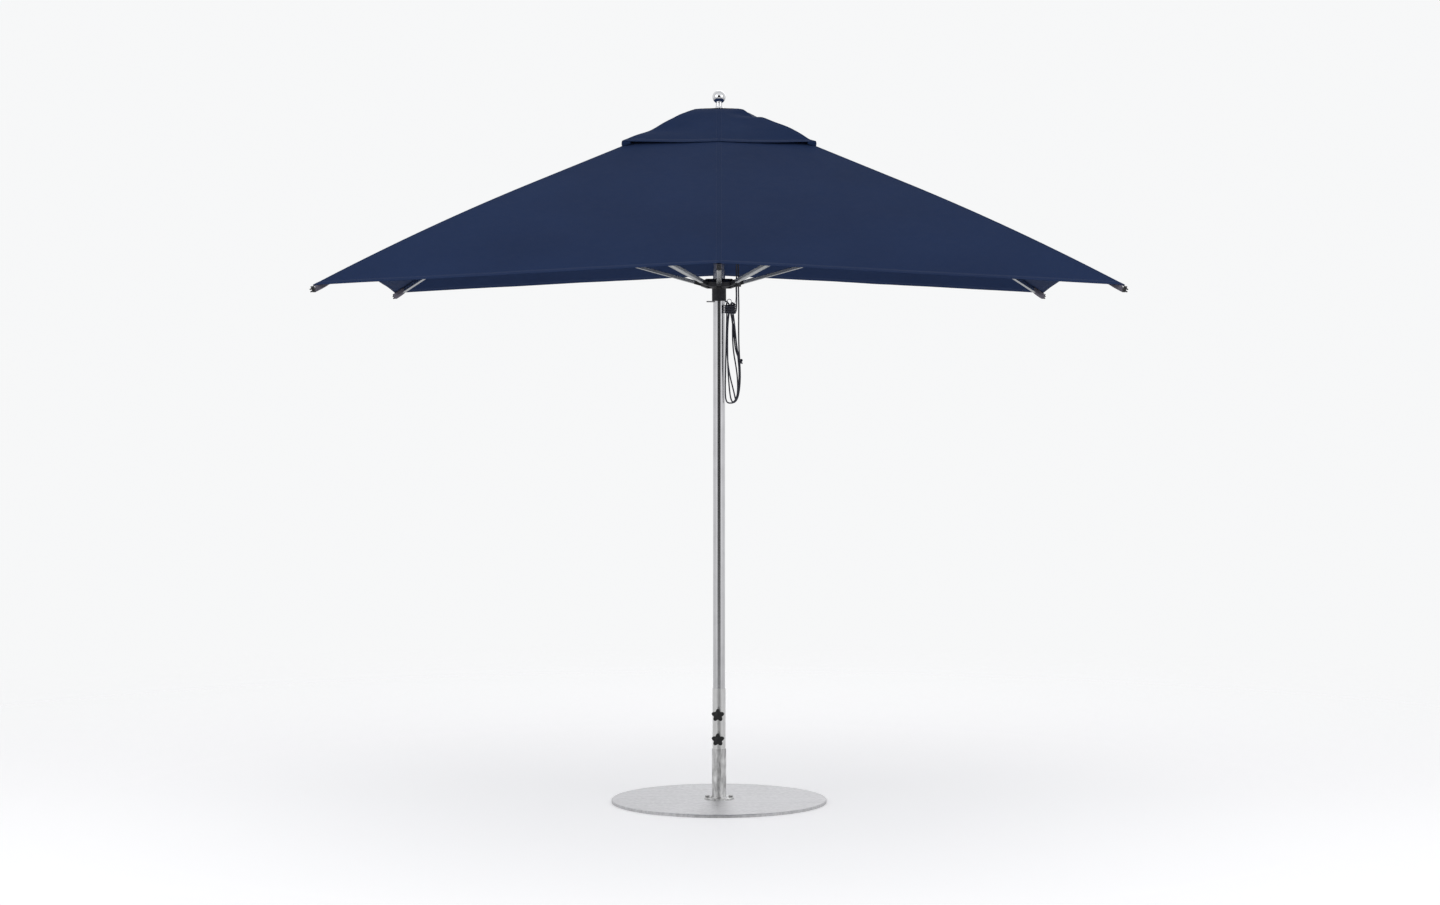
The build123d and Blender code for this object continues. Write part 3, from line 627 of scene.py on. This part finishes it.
def ridge_seams():
    """A folded seam of cloth along the top of every rib, on the main canopy and on the cap."""
    for number, azimuth in enumerate(AZIMUTHS, start=1):
        for label, inner, outer, half_width in (("main", VENT_HOLE_HALF, HALF, MAIN_SEAM_HALF),
                                                ("cap", CAP_SEAM_INNER, CAP_HALF, CAP_SEAM_HALF)):
            vertices = []
            rows = stations_between(inner, outer - 0.0005, 40)
            offsets = (-1.0, -0.9, -0.3, 0.0, 0.3, 0.9, 1.0)
            for x in rows:
                for offset in offsets:
                    side = 1 if offset <= 0 else -1
                    across = abs(offset) * half_width
                    if azimuth % 90:
                        # At a corner the two sides of the seam lie on two different gores
                        gore_azimuth = azimuth - 45 * side
                        here = min(x + across * 2**-0.5, outer)
                        share = 1.0 - across * 2**0.5 / here
                    else:
                        gore_azimuth, here = azimuth, x
                        side = -side
                        share = across / here
                    if label == "main":
                        z = roof(here, share)
                    else:
                        z = cap_roof(here, share, (gore_azimuth + 45 * side) % 360)
                    point = turned((here, share * here, 0), gore_azimuth, side)
                    swell = SEAM_SWELL * (1 - abs(offset) ** 4)
                    point.z = z + HEM_LIFT * (outer - x < HEM_W) + 0.0002 + swell
                    vertices.append(point)
            seam = new_object(f"{label}_seam_{number}", vertices, grid_faces(len(rows), len(offsets)), "patch_fabric")
            face_outwards(seam, open_sheet=True)
            thick(seam, SEAM_T)
            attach(seam, f"rib_{number}")


def rounded_square(part):
    """Turns the sine or cosine of a circle into that of a square with round corners."""
    return abs(part) ** 0.45 * (1 if part > 0 else -1)


def rib_pockets():
    """The sewn sleeve that holds the canopy on the end of each rib."""
    for number, azimuth in enumerate(AZIMUTHS, start=1):
        ridge, fall = (CORNER, 0.30) if azimuth % 90 else (SIDE, 0.06)
        rings = []
        for step, (back, grow) in enumerate(((0.0, 0.94), (0.003, 1.0), (0.022, 1.0), (0.045, 0.98), (0.065, 0.93),
                                             (POCKET_LENGTH - 0.004, 0.84), (POCKET_LENGTH, 0.78))):
            r = ridge.tip_r - 0.004 - back * cos(ridge.tip_angle)
            top = ridge.height(r) - 0.0016
            ring = []
            for k in range(24):
                turn = 2 * pi * k / 24
                across = POCKET_HALF_WIDTH * grow * rounded_square(cos(turn))
                height = POCKET_HALF_HEIGHT * grow * rounded_square(sin(turn))
                bag = POCKET_BAGGING * sin(3.0 * turn + 1.7 * step)
                point = Vector((r, across + bag, top - 0.0148 + height))
                # The top corners tuck under the slopes of the cloth on both sides of the ridge
                point.z = min(point.z, top - fall * abs(point.y))
                ring.append(turned(point, azimuth))
            rings.append(ring)
        pocket = shell(f"rib_pocket_{number}", rings, "pocket_webbing")
        subdivision = pocket.modifiers.new("smooth", "SUBSURF")
        subdivision.levels = 1
        finished(pocket, 60)
        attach(pocket, f"rib_{number}")


def cap_corner_tabs():
    """Cloth tabs that tie each corner of the cap down to the main canopy."""
    for number, azimuth in enumerate(AZIMUTHS, start=1):
        if azimuth % 90 == 0:
            continue
        vertices, rows, columns = [], 5, 13
        for row in range(rows):
            down = row / (rows - 1)
            for k in range(columns):
                offset = 2 * k / (columns - 1) - 1
                side = 1 if offset <= 0 else -1
                share = 1 - abs(offset) * TAB_REACH / CAP_HALF
                gore_azimuth = azimuth - 45 * side
                top = cap_roof(CAP_HALF, share, azimuth) - 0.001
                foot = roof(CAP_HALF, share) + 0.0008
                x = CAP_HALF - 0.0006 + 0.0016 * sin(pi * down) - 0.0015 * abs(offset)
                point = turned((x, share * x, 0), gore_azimuth, side)
                depth = down * (1 - 0.55 * offset**2)
                point.z = top + (foot - top) * depth
                vertices.append(point)
        tab = new_object(f"cap_tab_{number}", vertices, grid_faces(rows, columns), "patch_fabric")
        thick(tab, TAB_T, 0.0)
        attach(tab, f"rib_{number}")


def crown_patch():
    """The round reinforcement of the cap, clamped under the finial."""
    rings = []
    for r, z in ((0.0068, 0.0), (0.030, 0.0), (0.056, 0.0), (0.076, 0.0003), (0.0815, 0.0007), (0.0835, 0.0003),
                 (0.0830, -0.0002), (0.056, -0.0006), (0.030, -0.0011), (0.0068, -0.0011)):
        ring = []
        for k in range(64):
            turn = 2 * pi * k / 64
            ripple = 0.0004 * sin(7 * turn) * (r > 0.06)
            ring.append(Vector((r * cos(turn), r * sin(turn), CAP_TOP_Z + z + ripple)))
        rings.append(ring)
    patch = shell("crown_patch", rings, "patch_fabric", looped=True)
    finished(patch)
    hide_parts("vent_cap_top")
    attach(patch, "mast")


# ---- rope and chain -----------------------------------------------------------------------
def cord_curve(name, points, diameter, material):
    """A round cord on one smooth line, with the points as its control points."""
    curve = bpy.data.curves.new(name, "CURVE")
    curve.dimensions = "3D"
    spline = curve.splines.new("NURBS")
    spline.points.add(len(points) - 1)
    for control, point in zip(spline.points, points):
        control.co = (*point, 1)
    spline.order_u = 3
    spline.use_endpoint_u = True
    spline.resolution_u = 8
    curve.bevel_depth = diameter / 2
    curve.bevel_resolution = 4
    curve.use_fill_caps = True
    curve.materials.append(MATERIALS[material])
    return added(name, curve)


def line_of(points):
    """Points along the smooth line through a route."""
    route = cord_curve("route", points, 0.0, "lift_rope")
    mesh = bpy.data.meshes.new_from_object(route)
    line = [vertex.co.copy() for vertex in mesh.vertices]
    bpy.data.objects.remove(route)
    bpy.data.meshes.remove(mesh)
    return line


def hank_point(x, depth, z):
    """A point of the hank: x as seen from the front, depth behind the hank's middle plane."""
    across = (HANK_RIGHT - HANK_LEFT).normalized()
    behind = Vector((-across.y, across.x, 0))
    return tuple(HANK_LEFT + across * ((x - HANK_LEFT.x) / across.x) + behind * depth + Vector((0, 0, z)))


# Each loop of the hank: (x, depth, height), in the order in which the rope runs
LOOP_ONE = ((0.0826, 0.000, 2.000), (0.0835, 0.000, 1.935), (0.0872, 0.001, 1.875), (0.0902, 0.002, 1.815),
            (0.0880, 0.003, 1.762), (0.0810, 0.004, 1.720), (0.0700, 0.006, 1.700), (0.0560, 0.007, 1.6955),
            (0.0420, 0.007, 1.6950), (0.0320, 0.007, 1.7010), (0.0275, 0.007, 1.725), (0.0270, 0.007, 1.770),
            (0.0285, 0.007, 1.830), (0.0300, 0.007, 1.900), (0.0310, 0.006, 1.970), (0.0325, 0.005, 2.030),
            (0.0335, 0.004, 2.080), (0.0310, 0.003, 2.108), (0.0335, 0.002, 2.1205), (0.0400, 0.001, 2.118),
            (0.0440, 0.000, 2.100))
LOOP_TWO = ((0.0500, 0.001, 2.070), (0.0590, 0.000, 2.030), (0.0680, 0.000, 1.985), (0.0740, 0.000, 1.935),
            (0.0800, -0.002, 1.885), (0.0848, -0.003, 1.830), (0.0835, -0.003, 1.775), (0.0770, -0.002, 1.730),
            (0.0680, 0.000, 1.706), (0.0580, 0.000, 1.6985), (0.0505, 0.000, 1.709), (0.0450, 0.000, 1.740),
            (0.0410, 0.000, 1.785), (0.0375, 0.000, 1.840), (0.0360, 0.000, 1.905), (0.0355, -0.001, 1.970),
            (0.0370, -0.001, 2.030), (0.0420, -0.002, 2.078), (0.0500, -0.003, 2.105), (0.0540, -0.004, 2.1205),
            (0.0600, -0.004, 2.116), (0.0600, -0.004, 2.098))
LOOP_THREE = ((0.0570, -0.005, 2.068), (0.0560, -0.006, 2.020), (0.0560, -0.007, 1.965), (0.0600, -0.007, 1.910),
              (0.0690, -0.007, 1.860), (0.0755, -0.008, 1.815), (0.0780, -0.008, 1.770), (0.0765, -0.007, 1.732),
              (0.0725, -0.007, 1.711), (0.0680, -0.007, 1.712), (0.0640, -0.007, 1.732), (0.0560, -0.007, 1.765),
              (0.0470, -0.007, 1.800), (0.0390, -0.008, 1.840), (0.0340, -0.008, 1.890), (0.0325, -0.008, 1.950),
              (0.0330, -0.008, 2.010), (0.0370, -0.008, 2.060), (0.0420, -0.008, 2.098), (0.0480, -0.008, 2.113),
              (0.0540, -0.009, 2.105), (0.0580, -0.009, 2.075), (0.0640, -0.009, 2.030), (0.0690, -0.008, 1.980),
              (0.0740, -0.008, 1.930), (0.0810, -0.007, 1.893), (0.0870, -0.006, 1.873))


def neck_turns():
    """The lashing: an oval of turns of the front eye's part round the neck of the hank, from its foot up."""
    points = []
    for k in range(POINTS_A_TURN * NECK_TURNS + 1):
        turn = radians(NECK_START - 360 / POINTS_A_TURN * k)
        z = NECK_FOOT + NECK_PITCH * k / POINTS_A_TURN
        points.append(hank_point(NECK_X + NECK_HALF_WIDTH * cos(turn), NECK_HALF_DEPTH * sin(turn), z))
    return points


def knot():
    """The overhand knot that joins the two ends, with their short tails."""
    centre = Vector(hank_point(KNOT[0] + 0.001, -0.004, KNOT[1]))
    points = []
    for k in range(25):
        turn = 2 * pi * k / 24 * 0.94 + 0.3
        swing = Vector((sin(turn) + 2 * sin(2 * turn), cos(turn) - 2 * cos(2 * turn), -sin(3 * turn)))
        size = Vector((swing.x * KNOT_SIZE[0], swing.z * KNOT_SIZE[1], swing.y * KNOT_SIZE[2]))
        points.append(tuple(centre + size))
    tail = Vector(points[-1])
    points.append(tuple(tail + Vector((0.004, -0.001, -0.003))))
    points.append(tuple(tail + Vector((0.010, -0.001, -0.008))))
    made = cord_curve("rope_knot", points, ROPE_D, "lift_rope")
    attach(made, "runner")
    return made


def ropes():
    """The two parts below the runner: one is coiled into the hank, and one is lashed round its neck."""
    tied = knot()
    right = [(*EYE_RIGHT, EYE_TOP - ROPE_D), (*EYE_RIGHT, 2.164), (0.0834, -0.0216, 2.110), (0.0830, -0.0196, 2.066)]
    right += [hank_point(*point) for point in LOOP_ONE + LOOP_TWO + LOOP_THREE]
    long_part = cord_curve("rope_hank_part", right, ROPE_D, "lift_rope")
    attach(long_part, "runner")
    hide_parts("rope_hank", "rope_drop")

    front = [(*EYE_FRONT, EYE_TOP - ROPE_D), (*EYE_FRONT, 2.164), (0.0742, -0.0400, 2.125), (0.0735, -0.0365, 2.092)]
    front += neck_turns()
    front += [hank_point(*point) for point in (
        (0.0590, -0.006, 2.118), (0.0520, 0.001, 2.117), (0.0500, 0.003, 2.095), (0.0530, 0.001, 2.055),
        (0.0600, -0.001, 2.010), (0.0640, -0.003, 1.960), (0.0690, -0.004, 1.920), (0.0780, -0.005, 1.893),
        (0.0860, -0.005, 1.879))]
    short_part = cord_curve("rope_lashing_part", front, ROPE_D, "lift_rope")
    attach(short_part, "runner")


def rope_fall():
    """The taut rope from the runner over the sheave in the top hub and back."""
    out = Vector((cos(ROPE_AZIMUTH), sin(ROPE_AZIMUTH), 0))
    across = Vector((-out.y, out.x, 0))
    rise = [EYE_TOP + (SHEAVE_Z - EYE_TOP) * k / 24 for k in range(25)]
    line = [out * ROPE_R - across * SHEAVE_R + Vector((0, 0, z)) for z in rise]
    for k in range(1, 12):
        turn = pi - pi * k / 12
        line.append(out * ROPE_R + across * SHEAVE_R * cos(turn) + Vector((0, 0, SHEAVE_Z + SHEAVE_R * sin(turn))))
    line += [out * ROPE_R + across * SHEAVE_R + Vector((0, 0, z)) for z in reversed(rise)]
    rings = []
    for k, point in enumerate(line):
        heading = (line[min(k + 1, len(line) - 1)] - line[max(k - 1, 0)]).normalized()
        inward = heading.cross(out).normalized()
        ring = []
        for n in range(16):
            turn = 2 * pi * n / 16
            ring.append(point + (out * cos(turn) + inward * sin(turn)) * ROPE_D / 2)
        rings.append(ring)
    rope = shell("rope_fall_parts", rings, "lift_rope")
    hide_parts("rope_fall")
    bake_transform(rope)
    tuple(line[0])
    [tuple(point) for point in line]


CHAIN_ROUTE = ((0.070, 0.017, 2.186), (0.072, 0.018, 2.150), (0.0695, 0.0194, 2.122), (0.063, 0.0206, 2.107),
               (0.0555, 0.0216, 2.104), (0.0512, 0.0213, 2.1126))
BEAD_R, BEAD_STEP, WIRE_R = 0.0016, 0.0040, 0.0007


def lock_pin_chain():
    """Ball chain that keeps the lock pin on the runner."""
    line = line_of(CHAIN_ROUTE)
    bm = bmesh.new()
    travelled, next_bead = 0.0, 0.0
    for before, after in zip(line, line[1:]):
        step = (after - before).length
        while next_bead <= travelled + step:
            place = before.lerp(after, (next_bead - travelled) / step)
            bmesh.ops.create_icosphere(bm, subdivisions=2, radius=BEAD_R, matrix=Matrix.Translation(place))
            next_bead += BEAD_STEP
        turn = (after - before).to_track_quat("Z", "Y").to_matrix().to_4x4()
        bmesh.ops.create_cone(bm, cap_ends=True, segments=8, radius1=WIRE_R, radius2=WIRE_R, depth=step,
                              matrix=Matrix.Translation((before + after) / 2) @ turn)
        travelled += step
    mesh = bpy.data.meshes.new("lock_pin_bead_chain")
    bm.to_mesh(mesh)
    bm.free()
    mesh.polygons.foreach_set("use_smooth", [True] * len(mesh.polygons))
    mesh.materials.append(MATERIALS["chain_steel"])
    chain = added("lock_pin_bead_chain", mesh)
    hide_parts("lock_pin_chain")
    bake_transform(chain)
    [tuple(point) for point in line]


# ---- stem details -------------------------------------------------------------------------
def star_knobs():
    """Five-lobed grips with rounded rims, each with its screw."""
    out = Vector((cos(KNOB_AZIMUTH), sin(KNOB_AZIMUTH), 0))
    across = Vector((-out.y, out.x, 0))
    up = Vector((0, 0, 1))
    profile = ((-0.0005, 0.34), (0.0005, 0.40), (0.0022, 0.44), (0.0030, 0.80), (0.0040, 0.90), (0.0060, 0.98),
               (0.0090, 1.00), (0.0170, 1.00), (0.0195, 0.98), (0.0212, 0.93), (0.0220, 0.84), (0.0216, 0.70),
               (0.0216, 0.45), (0.0224, 0.40), (0.0224, 0.05))
    for label, height in KNOB_HEIGHTS.items():
        rings = []
        for depth, grow in profile:
            ring = []
            for k in range(120):
                turn = 2 * pi * k / 120
                lobe = ((1 + cos(5 * turn)) / 2) ** 0.75
                star = KNOB_VALLEY_R + (KNOB_R - KNOB_VALLEY_R) * lobe
                blend_in = min(1.0, max(0.0, (grow - 0.45) / 0.35))
                r = grow * (blend_in * star + (1 - blend_in) * KNOB_BOSS_R)
                forward = out * (KNOB_START - 0.003 + depth)
                ring.append(forward + across * r * sin(turn) + up * (height + r * cos(turn)))
            rings.append(ring)
        grip = shell(f"star_grip_{label}", rings, "knob_resin")
        finished(grip, 55)
        stud_rings = []
        for k in range(40):
            depth = STUD_START + (KNOB_START - 0.001 - STUD_START) * k / 39
            r = STUD_CREST_R if k % 2 else STUD_ROOT_R
            turns = [2 * pi * n / 20 for n in range(20)]
            stud_rings.append([out * depth + across * r * sin(turn) + up * (height + r * cos(turn))
                               for turn in turns])
        stud = shell(f"knob_stud_{label}", stud_rings, "pin_steel")
        finished(stud, 30)
        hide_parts(f"star_knob_{label}")
        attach(grip, f"knob_{label}")
        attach(stud, f"knob_{label}")


def weld_bead(name, radius, z, size):
    """A fillet weld round a tube, with its overlapping ripples."""
    root, foot = radius - 0.0004, z - WELD_OVERLAP  # a little inside the tube and the plate
    rings = []
    steps = 150
    for k in range(steps):
        turn = 2 * pi * k / steps
        uneven = noise.noise(Vector((7 * cos(turn), 7 * sin(turn), radius * 90)))
        ripple = 1 + 0.10 * sin(2 * pi * k / 5) + 0.06 * uneven
        ring = []
        for n in range(7):
            lean = pi / 2 * n / 6
            r = root + size * ripple * cos(lean)
            ring.append(Vector((r * cos(turn), r * sin(turn), foot + size * ripple * sin(lean))))
        ring.append(Vector((root * cos(turn), root * sin(turn), foot)))
        rings.append(ring)
    bead = shell(name, rings, "socket_steel", looped=True)
    finished(bead, 50)
    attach(bead, "base")


# ---- camera, light and floor --------------------------------------------------------------
def camera():
    """A long lens, in front and a little above a person's eyes."""
    data = bpy.data.cameras.new("camera")
    data.sensor_width = 36.0
    data.lens = CAMERA_LENS
    data.clip_end = 100.0
    made = added("camera", data)
    made.location = CAMERA_PLACE
    made.rotation_euler = (radians(90 - CAMERA_TILT), 0, 0)
    bpy.context.scene.camera = made


def studio_world():
    """A pale room with a darker wall on the -Y side for metal to mirror. Seen directly, it is plain pale."""
    world = bpy.data.worlds.new("studio")
    bpy.context.scene.world = world
    world.use_nodes = True
    tree = world.node_tree
    light = tree.nodes["Background"]
    place = tree.nodes.new("ShaderNodeTexCoord")
    parts = tree.nodes.new("ShaderNodeSeparateXYZ")
    tree.links.new(place.outputs["Generated"], parts.inputs["Vector"])
    ramp = tree.nodes.new("ShaderNodeValToRGB")
    elements = ramp.color_ramp.elements
    for index, (where, grey) in enumerate(ROOM_TONES):
        element = elements[index] if index < 2 else elements.new(where)
        element.position = where
        element.color = (grey, grey, 1.02 * grey, 1)
    half = tree.nodes.new("ShaderNodeMath")
    half.operation = "MULTIPLY_ADD"
    half.inputs[1].default_value = 0.5
    half.inputs[2].default_value = 0.5
    tree.links.new(parts.outputs["Y"], half.inputs[0])
    tree.links.new(half.outputs["Value"], ramp.inputs["Fac"])
    above = tree.nodes.new("ShaderNodeMapRange")
    above.inputs["From Min"].default_value = -0.15
    above.inputs["From Max"].default_value = -0.07
    tree.links.new(parts.outputs["Z"], above.inputs["Value"])
    floor_tone = tree.nodes.new("ShaderNodeMix")
    floor_tone.data_type = "RGBA"
    floor_tone.inputs[6].default_value = (0.62, 0.62, 0.63, 1)
    tree.links.new(above.outputs["Result"], floor_tone.inputs["Factor"])
    tree.links.new(ramp.outputs["Color"], floor_tone.inputs[7])
    tree.links.new(floor_tone.outputs[2], light.inputs["Color"])
    light.inputs["Strength"].default_value = 0.80
    plain = tree.nodes.new("ShaderNodeBackground")
    plain.inputs["Color"].default_value = (0.93, 0.935, 0.94, 1)
    path = tree.nodes.new("ShaderNodeLightPath")
    chosen = tree.nodes.new("ShaderNodeMixShader")
    tree.links.new(path.outputs["Is Camera Ray"], chosen.inputs["Fac"])
    tree.links.new(light.outputs["Background"], chosen.inputs[1])
    tree.links.new(plain.outputs["Background"], chosen.inputs[2])
    tree.links.new(chosen.outputs["Shader"], tree.nodes["World Output"].inputs["Surface"])


def area_light(name, location, aim, size, power):
    data = bpy.data.lights.new(name, "AREA")
    data.size = size
    data.energy = power
    made = added(name, data)
    made.location = location
    made.rotation_euler = (Vector(aim) - Vector(location)).to_track_quat("-Z", "Y").to_euler()


def studio():
    """The room, its three lights and the floor."""
    studio_world()
    for name, settings in LIGHTS.items():
        area_light(name, *settings)
    mesh = bpy.data.meshes.new("floor")
    corners = [(x * FLOOR_HALF, y * FLOOR_HALF, 0) for x, y in ((-1, -1), (1, -1), (1, 1), (-1, 1))]
    mesh.from_pydata(corners, [], [(0, 1, 2, 3)])
    m = Material("floor_paint", (0.90, 0.90, 0.905), 0.6)
    m.set("Emission Color", (1.0, 1.0, 1.0, 1))
    m.set("Emission Strength", 0.22)
    m.use("Roughness", m.span(m.noise(3.0), 0.55, 0.7))
    # The floor fades into the plain background some way from the object
    distance = m.node("ShaderNodeVectorMath", operation="LENGTH")
    m.link(m.place, distance.inputs[0])
    fade = m.node("ShaderNodeMapRange", interpolation_type="SMOOTHSTEP")
    fade.inputs["From Min"].default_value = FLOOR_FADE_START
    fade.inputs["From Max"].default_value = FLOOR_FADE_END
    m.link(distance.outputs["Value"], fade.inputs["Value"])
    m.mix_surface(fade.outputs["Result"], m.node("ShaderNodeBsdfTransparent"))
    mesh.materials.append(m.material)
    floor = added("floor", mesh)
    floor.location.z = -0.0005
    floor.visible_glossy = False
    bpy.context.scene.view_settings.view_transform = "Standard"


# ---- the scene ----------------------------------------------------------------------------
camera()
studio()
ropes()
rope_fall()
lock_pin_chain()
canopy()
ridge_seams()
rib_pockets()
cap_corner_tabs()
crown_patch()
star_knobs()
weld_bead("weld_socket_foot", SOCKET_R, WELD_Z, WELD_SIZE)
